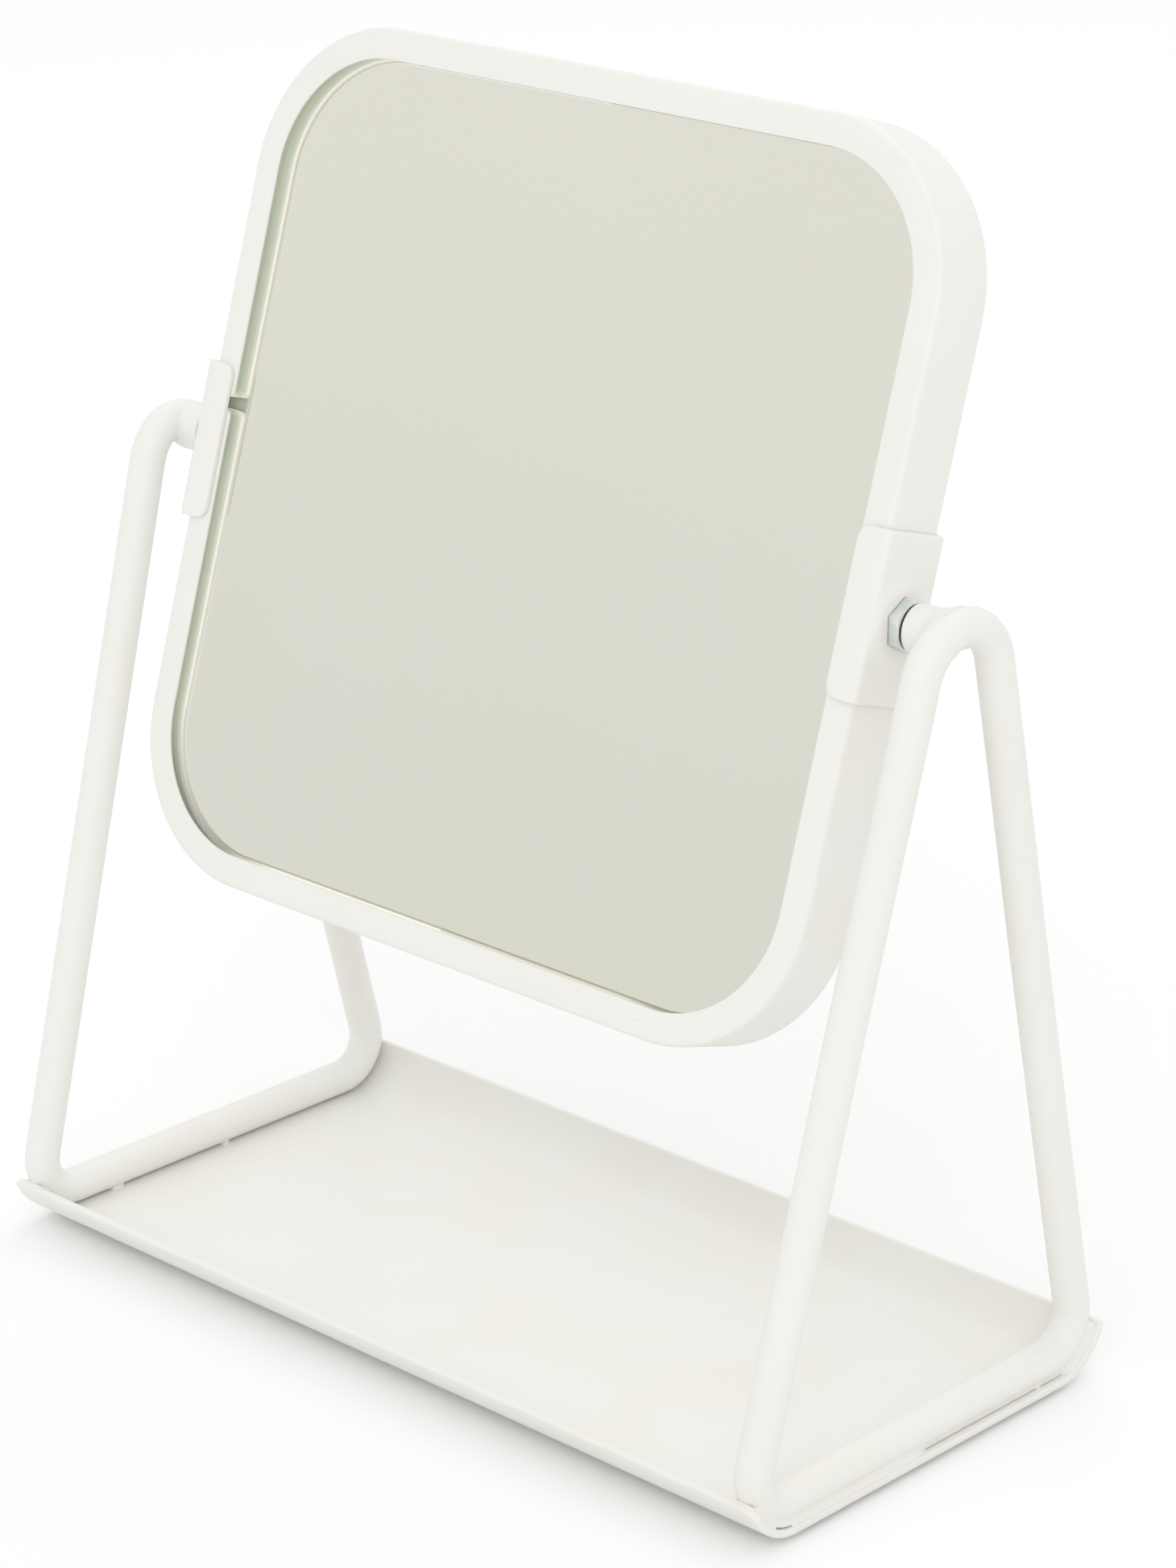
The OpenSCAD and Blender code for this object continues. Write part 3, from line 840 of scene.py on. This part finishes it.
class SWIVEL_OT_pivot_bosses(Operator):
    """Make the two bosses that the mirror's studs turn in"""

    bl_idname = "swivel_mirror.pivot_bosses"
    bl_label = "Pivot Bosses"

    def execute(self, context):
        layout = Layout(context.scene)
        radius, edge, lead = layout.stand.boss_diameter / 2, 0.45 * MM, 0.25 * MM
        running_gap, tip = 0.05 * MM, 1.0 * MM
        bore = layout.mirror.stud_diameter / 2 + running_gap
        face, blind = layout.boss_x, layout.rod_side_x - 0.5 * MM
        end = layout.rod_side_x + 0.6 * layout.rod
        profile = [(face + lead, bore), (face, bore + lead)]
        for a in (0, pi / 8, pi / 4, 3 * pi / 8, pi / 2):
            profile.append((face + edge - edge * cos(a), radius - edge + edge * sin(a)))
        profile += [
            (end - 0.5 * MM, radius), (end - 0.15 * MM, radius - 0.15 * MM),
            (end, radius - 0.5 * MM), (end, tip), (end - 0.3 * MM, tip),
            (blind, tip), (blind, bore),
        ]

        for side, flip in SIDES:
            boss = lathe(layout, profile)
            paint_piece(context, side + "_pivot_boss", boss, STAND, flip=flip)
        return {"FINISHED"}


class SWIVEL_OT_boss_welds(Operator):
    """Make the smooth welds between the bosses and the tops of the loops"""

    bl_idname = "swivel_mirror.boss_welds"
    bl_label = "Boss Welds"

    def execute(self, context):
        layout = Layout(context.scene)
        stand, boss = layout.stand, layout.stand.boss_diameter / 2
        end, count = layout.rod_side_x + 0.6 * layout.rod, 26
        start = layout.rod_side_x - 1.3 * stand.boss_weld
        stop = layout.rod_side_x + 0.9 * layout.rod

        def rod_path(left):
            """The rod's centreline near the boss, from front to back."""
            places = [layout.settle(along, up, left) for along, up, _ in layout.loop_path()]
            points = [Vector(layout.on_loop(*place, 0.0)) for place in places]
            near = [p for p in points if p.z > layout.pivot_z - 40 * MM]
            return sorted(near, key=lambda p: p.y)

        def to_rod(point, path):
            """Distance from the rod's surface, drawn in a little so the weld sinks into it."""
            best = 1.0
            for a, b in zip(path, path[1:]):
                line = b - a
                t = max(0.0, min(1.0, (point - a).dot(line) / line.length_squared))
                best = min(best, (a + line * t - point).length)
            return best - layout.rod + 0.05 * MM

        def depth(x, radius, a, reach, path):
            """Blended distance from the boss and the rod together."""
            to_boss = max(radius - boss + 0.03 * MM, x - end)
            rod = to_rod(Vector(layout.round_pivot(x, radius, a)), path)
            reach *= 1 + 0.25 * noise.noise(Vector((3 * cos(a), 3 * sin(a), 2.0)))
            near = max(reach - abs(to_boss - rod), 0.0) / reach
            return min(to_boss, rod) - near * near * reach / 4

        def surface(x, a, left, reach, path):
            """Outermost crossing of the blended surface, walking inwards."""
            step, least = 0.25 * MM, 1.0 * MM
            radius = boss + (3.3 if sin(a) > -0.2 and not left else 1.0) * MM
            while radius > least and depth(x, radius, a, reach, path) > 0:
                radius -= step
            low, high = radius, radius + step
            for _ in range(8):
                middle = (low + high) / 2
                if depth(x, middle, a, reach, path) > 0:
                    high = middle
                else:
                    low = middle
            return layout.round_pivot(x, low, a)

        for side, flip in SIDES:
            about = flip, stand.left_weld if flip else stand.boss_weld, rod_path(flip)
            rings = []
            for i in range(count + 1):
                x = start + (stop - start) * (i / count)
                rings.append([surface(x, a, *about) for a in ring_angles(72)])
            crease = 25 if flip else 80
            paint_piece(
                context, side + "_boss_weld", skin(rings), STAND, flip=flip, crease=crease,
            )
        return {"FINISHED"}


class SWIVEL_OT_mirror_frame(Operator):
    """Make the bent channel round the glass, with its seam"""

    bl_idname = "swivel_mirror.mirror_frame"
    bl_label = "Mirror Frame"

    def execute(self, context):
        layout = Layout(context.scene)
        mirror, edge, seam_edge, seam_flare = layout.mirror, 0.35 * MM, 0.4 * MM, 1.6 * MM

        def outline(inset, retract):
            """The channel's section (outwards, back), drawn in by inset."""
            face, sheet = mirror.depth / 2 - inset, mirror.sheet - 2 * inset
            tip, bend = mirror.lip_edge - 2 * inset, mirror.bend - inset
            out, lip = mirror.corner - inset, mirror.corner - mirror.lip + inset + retract
            taper, hollow = lip + 1.5 * MM, max(mirror.bend - mirror.sheet, 0.4 * MM) + inset
            soft, burr, turn = min(edge, tip * 0.45), min(0.1 * MM, tip * 0.4), 0.2 * MM
            return rounded([
                (lip, -face, soft), (out, -face, bend), (out, face, bend), (lip, face, soft),
                (lip, face - tip, burr), (taper, face - sheet, turn),
                (out - sheet, face - sheet, hollow), (out - sheet, sheet - face, hollow),
                (taper, sheet - face, turn), (lip, tip - face, burr),
            ], 5)

        # The path from the seam's lower end round to its upper end:
        # (u, v, direction outwards, distance from the end)
        half_w, half_h = layout.half_w, layout.half_h
        low = mirror.seam_height - mirror.seam_gap / 2
        high, far = low + mirror.seam_gap, 1.0
        steps = end_steps((seam_edge, 4), (seam_flare, 6))
        path = [(-half_w, low - s, pi, s) for s in steps]
        path += [(-half_w, low - (low + half_h) * k / 5, pi, far) for k in range(1, 5)]
        corners = ((-half_w, -half_h), (half_w, -half_h), (half_w, half_h), (-half_w, half_h))
        for i, corner in enumerate(corners):
            path += [(*corner, pi * (1 + i / 2 + k / 48), far) for k in range(25)]
            for k in range(1, 6) if i < 3 else ():
                path.append((*blend(corner, corners[i + 1], k / 6), pi * (1.5 + i / 2), far))
        path += [(-half_w, high + (half_h - high) * k / 5, pi, far) for k in (4, 3, 2, 1)]
        path += [(-half_w, high + s, pi, s) for s in reversed(steps)]
        rings = []
        for u, v, heading, near in path:
            section = outline(shrink(near, seam_edge), shrink(near, seam_flare))
            rings.append([
                layout.tilted(u + o * cos(heading), n, v + o * sin(heading)) for o, n in section
            ])
        # The frame's coat carries painted light under its lips
        coat = painted_light_channel_coat("channel coat", context.scene.finishes, layout)
        make_piece("mirror_frame", skin(rings), coat, MIRROR, "powder_white", crease=50)
        return {"FINISHED"}


class SWIVEL_OT_glasses(Operator):
    """Make the front and rear mirror glasses"""

    bl_idname = "swivel_mirror.glasses"
    bl_label = "Mirror Glasses"

    def execute(self, context):
        layout = Layout(context.scene)
        mirror, arris = layout.mirror, 0.3 * MM
        material = silvered_glass("silvered glass", context.scene.finishes, layout)
        half_w, half_h = layout.half_w, layout.half_h
        corners = ((half_w, half_h), (-half_w, half_h), (-half_w, -half_h), (half_w, -half_h))
        radius, face = mirror.corner - mirror.glass_edge, mirror.depth / 2 - mirror.sheet

        def rim(inset, n, lean=0):
            """A ring round a pane, which may lean a little in its channel."""
            ring = []
            for i, (u, v) in enumerate(corners):
                for k in range(17):
                    a = pi / 2 * (i + k / 16)
                    across = u + (radius - inset) * cos(a)
                    high = v + (radius - inset) * sin(a)
                    back = n - lean * high * sin(mirror.glass_lean)
                    ring.append(layout.tilted(across, back, high))
            return ring

        for name, sign in (("front", -1), ("rear", 1)):
            near, far = face - mirror.silver_depth, face - mirror.glass_sheet
            rings = [
                rim(arris, sign * near, sign), rim(0.0, sign * (near - arris), sign),
                rim(0.0, sign * (far + arris)), rim(arris, sign * far),
            ]
            make_piece(
                name + "_mirror_glass", skin(rings), material, MIRROR, "mirror_glass", crease=30,
            )
        return {"FINISHED"}


class SWIVEL_OT_brackets(Operator):
    """Make the two sheet brackets over the frame's sides"""

    bl_idname = "swivel_mirror.brackets"
    bl_label = "Brackets"

    def execute(self, context):
        layout = Layout(context.scene)
        mirror = layout.mirror
        edge, soft_edge, sheet = 0.35 * MM, 0.7 * MM, mirror.bracket_sheet
        half, half_v = mirror.depth / 2, mirror.bracket_height / 2
        steps_each, web_steps, web_sides = 4, 24, (9, 29)

        def outline(inset, retract):
            """The bracket's U section (x, back), its web cut fine for the raised seat."""
            out, face = layout.web_x - inset, half + sheet - inset
            wall = sheet - inset - min(inset, edge)
            tip = layout.web_x - sheet - mirror.flange + inset + retract
            soft, inner = min(edge, wall * 0.45), 0.3 * MM + inset
            bend = mirror.bracket_bend - inset
            corners = rounded([
                (tip, -face, soft), (out, -face, bend), (out, face, bend), (tip, face, soft),
                (tip, face - wall, soft), (out - wall, face - wall, inner),
                (out - wall, wall - face, inner), (tip, wall - face, soft),
            ], steps_each)
            points = []
            for i, p in enumerate(corners):
                points.append(p)
                if i in web_sides:
                    q = corners[i + 1]
                    points += [blend(p, q, k / web_steps) for k in range(1, web_steps)]
            return points

        steps = end_steps((edge, 4), (soft_edge, 4), (mirror.flange_corner, 8))
        inner = half_v - mirror.flange_corner
        heights = [-half_v + s for s in steps] + [inner * k / 20 for k in range(-19, 20)]
        heights += [half_v - s for s in reversed(steps)]
        top, foot = mirror.seat_diameter / 2, mirror.seat_diameter / 2 + mirror.seat_skirt

        for side, flip in SIDES:
            out, rise = 0.0, mirror.right_bracket_rise
            if flip:
                out, rise = mirror.left_bracket_out, -mirror.left_bracket_drop
            rings = []
            for v in heights:
                near = half_v - abs(v)
                inset = shrink(near, edge if flip or v < 0 else soft_edge)
                ring = []
                for x, n in outline(inset, shrink(near, mirror.flange_corner)):
                    if x > layout.web_x - sheet - 0.01 * MM and abs(n) < half:
                        up_skirt = ease(hypot(v + rise, n), foot, top)
                        x += (mirror.seat_height - out) * up_skirt
                    ring.append(layout.tilted(x + out, n, v + rise))
                rings.append(ring)
            shape = skin(rings)
            paint_piece(context, side + "_bracket", shape, MIRROR, flip=flip, crease=50)
        return {"FINISHED"}


class SWIVEL_OT_pivot_fittings(Operator):
    """Make the lock nuts and friction washers, and plate the studs"""

    bl_idname = "swivel_mirror.pivot_fittings"
    bl_label = "Pivot Fittings"

    def nut(self, layout):
        """A hexagon nut with its outer face chamfered, its points up and down."""
        mirror, rings = layout.mirror, []
        flat, bore = mirror.nut_flats / 2, mirror.stud_diameter / 2
        low, high, chamfer = layout.seat_x, layout.nut_x, mirror.nut_flats / 2 * 0.98
        for a in ring_angles(120):
            radius = flat / cos(a % (pi / 3) - pi / 6)
            fall = max(radius - chamfer, 0.0) * tan(radians(25))
            profile = [
                (low, bore + 0.45 * MM), (low, radius), (high - fall, radius), (high, chamfer),
                (high, bore + 0.5 * MM), (high - 0.5 * MM, bore), (low + 0.45 * MM, bore),
            ]
            rings.append([layout.round_pivot(x, r, pi / 2 - a) for x, r in profile])
        return skin(rings, closed=True)

    def execute(self, context):
        layout = Layout(context.scene)
        finishes, mirror = context.scene.finishes, layout.mirror
        zinc = zinc_plate("zinc plate", finishes.zinc, layout.seat_x)
        nylon = matt_moulding("black nylon", finishes.nylon, 0.5)
        outer, inner = mirror.washer_diameter / 2, mirror.stud_diameter / 2 + 0.1 * MM
        low, high, edge = layout.nut_x, layout.washer_x, 0.15 * MM
        washer = lathe(layout, [
            (low, inner), (low, outer - edge), (low + edge, outer), (high - edge, outer),
            (high, outer - edge), (high, inner),
        ])

        for side, flip in SIDES:
            make_piece(
                side + "_lock_nut", self.nut(layout), zinc, MIRROR, "zinc", flip, crease=20,
            )
            make_piece(side + "_friction_washer", washer, nylon, MIRROR, "black_nylon", flip)
            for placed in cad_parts[side + "_pivot_stud"].material_slots:
                placed.material = zinc
        return {"FINISHED"}


class SWIVEL_OT_core_board(Operator):
    """Give the board between the glasses its pressed-fibre finish"""

    bl_idname = "swivel_mirror.core_board"
    bl_label = "Core Board"

    def execute(self, context):
        board = hardboard("hardboard", context.scene.finishes.board)
        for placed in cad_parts["core_board"].material_slots:
            placed.material = board
        return {"FINISHED"}


# Stage


class SWIVEL_OT_stage(Operator):
    """Lay the floor, set the light and place the camera"""

    bl_idname = "swivel_mirror.stage"
    bl_label = "Stage"

    def seen(self, g):
        """1 for rays that show the background: camera, glossy and transmission."""
        path = g.add("ShaderNodeLightPath").outputs
        through = g.math("MAXIMUM", path["Is Glossy Ray"], path["Is Transmission Ray"])
        return g.math("MAXIMUM", path["Is Camera Ray"], through)

    def lay_floor(self, glow):
        """A wide pale floor that keeps soft shadows and reads as white elsewhere."""
        far = 6.0
        corners = [(-far, -far, 0), (far, -far, 0), (far, far, 0), (-far, far, 0)]
        mesh = bpy.data.meshes.new("floor")
        mesh.from_pydata(corners, [], [(0, 1, 2, 3)])
        floor = bpy.data.objects.new("floor", mesh)
        bpy.context.collection.objects.link(floor)
        g = Graph(bpy.data.materials.new("studio floor"))
        matt = g.add("ShaderNodeBsdfDiffuse", {"Color": (0.90, 0.90, 0.90, 1.0)})
        lift = g.times(self.seen(g), glow)
        shine = g.add("ShaderNodeEmission", {"Strength": lift})
        both = g.add("ShaderNodeAddShader", {0: matt.outputs[0], 1: shine.outputs[0]})
        mesh.materials.append(g.show(both))

    def light(self, context, settings):
        """An even sky that shows as white, and two large soft lamps."""
        g, white = Graph(bpy.data.worlds.new("studio")), (1.0, 1.0, 1.0, 1.0)
        even = g.add("ShaderNodeBackground", {"Color": white, "Strength": settings.sky})
        shown = g.add("ShaderNodeBackground", {"Color": white})
        sky = {0: self.seen(g), 1: even.outputs[0], 2: shown.outputs[0]}
        context.scene.world = g.show(g.add("ShaderNodeMixShader", sky), "World")
        middle, lamp_width = Vector((0.0, 0.0, 0.12)), 1.6
        for name, place, watts in (
            ("key", (1.1, -1.5, 1.3), settings.key), ("fill", (-0.4, 0.9, 1.7), settings.fill),
        ):
            lamp = bpy.data.lights.new(name, "AREA")
            lamp.shape, lamp.size, lamp.energy = "DISK", lamp_width, watts
            placed = bpy.data.objects.new(name, lamp)
            placed.location = place
            towards = middle - placed.location
            placed.rotation_euler = towards.to_track_quat("-Z", "Y").to_euler()
            context.collection.objects.link(placed)

    def place_camera(self, context, lens):
        """The camera, rolled a little about its line of sight."""
        eye, target = Vector((0.63581, -0.671765, 0.46054)), Vector((0.01417, -0.001535, 0.12616))
        roll, frame_height = radians(0.44), 36.0
        back = (eye - target).normalized()
        right = Vector((0.0, 0.0, 1.0)).cross(back).normalized()
        up = back.cross(right)
        turned = Matrix((
            right * cos(roll) + up * sin(roll), up * cos(roll) - right * sin(roll), back,
        ))
        camera = bpy.data.cameras.new("camera")
        camera.sensor_fit, camera.sensor_height, camera.lens = "VERTICAL", frame_height, lens
        camera.clip_start, camera.clip_end = 0.05, 30.0
        placed = bpy.data.objects.new("camera", camera)
        placed.matrix_world = Matrix.Translation(eye) @ turned.transposed().to_4x4()
        context.collection.objects.link(placed)
        context.scene.camera = placed

    def execute(self, context):
        settings = context.scene.stage_settings
        context.scene.view_settings.view_transform = "Standard"
        self.lay_floor(settings.floor_glow)
        self.light(context, settings)
        self.place_camera(context, settings.lens)
        return {"FINISHED"}


OPERATORS = (
    SWIVEL_OT_stage,
    SWIVEL_OT_base_plate,
    SWIVEL_OT_foot_pads,
    SWIVEL_OT_side_loops,
    SWIVEL_OT_plate_welds,
    SWIVEL_OT_pivot_bosses,
    SWIVEL_OT_boss_welds,
    SWIVEL_OT_mirror_frame,
    SWIVEL_OT_glasses,
    SWIVEL_OT_core_board,
    SWIVEL_OT_brackets,
    SWIVEL_OT_pivot_fittings,
)
GROUPS = {
    "stand_sizes": StandSizes,
    "mirror_sizes": MirrorSizes,
    "finishes": Finishes,
    "stage_settings": StageSettings,
}


class SWIVEL_PT_sidebar(Panel):
    """Sizes, colours and pieces of the swivel mirror"""

    bl_idname = "SWIVEL_PT_sidebar"
    bl_label = "Swivel Mirror"
    bl_space_type = "VIEW_3D"
    bl_region_type = "UI"
    bl_category = "Swivel Mirror"

    def draw(self, context):
        for name, group in GROUPS.items():
            box = self.layout.box()
            box.label(text=group.__doc__)
            values = getattr(context.scene, name)
            for key in group.__annotations__:
                box.prop(values, key)
        for operator in OPERATORS:
            self.layout.operator(operator.bl_idname)


CLASSES = (*GROUPS.values(), *OPERATORS, SWIVEL_PT_sidebar)


def register():
    for cls in CLASSES:
        bpy.utils.register_class(cls)
    for name, group in GROUPS.items():
        setattr(bpy.types.Scene, name, PointerProperty(type=group))


def unregister():
    for name in GROUPS:
        delattr(bpy.types.Scene, name)
    for cls in reversed(CLASSES):
        bpy.utils.unregister_class(cls)


def main():
    register()
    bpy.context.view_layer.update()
    for operator in OPERATORS:
        group, name = operator.bl_idname.split(".")
        getattr(getattr(bpy.ops, group), name)()


if __name__ == "__main__":
    main()
